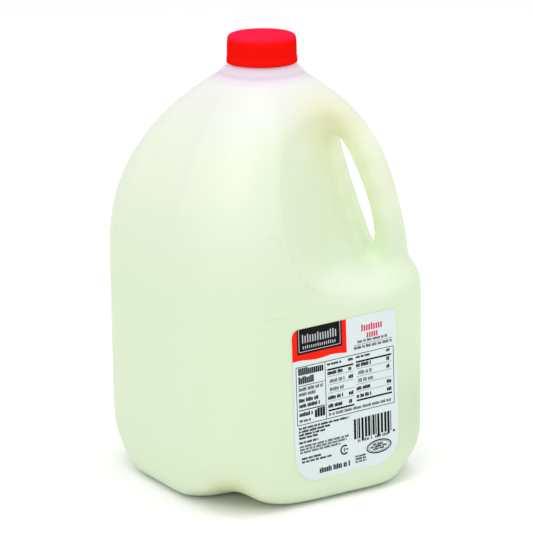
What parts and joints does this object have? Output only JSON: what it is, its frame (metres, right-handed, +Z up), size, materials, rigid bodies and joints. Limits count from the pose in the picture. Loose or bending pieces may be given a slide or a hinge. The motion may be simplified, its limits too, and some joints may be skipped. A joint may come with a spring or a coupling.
{
  "type": "plastic milk jug",
  "caption": "Square one-gallon plastic milk jug with a hollow corner handle, ribbed red screw cap, milk inside and a paper label on one side.",
  "frame": {"origin": "middle of the jug's footprint, on the plane it stands on", "axes": "+Z up through the neck and cap, +X towards the handle corner, so the handle lies in the XZ plane and the finger opening runs along Y"},
  "size_m": [0.1826, 0.1826, 0.2554],
  "materials": {
    "jug": "translucent blow-moulded polyethylene, soft sheen",
    "milk": "opaque white liquid",
    "cap": "moulded polyethylene, satin",
    "label": "coated paper, printed with plain shapes"
  },
  "bodies": {
    "root": {"jug": "jug", "milk": "milk", "cap": "cap", "label": "label"}
  },
  "joints": []
}
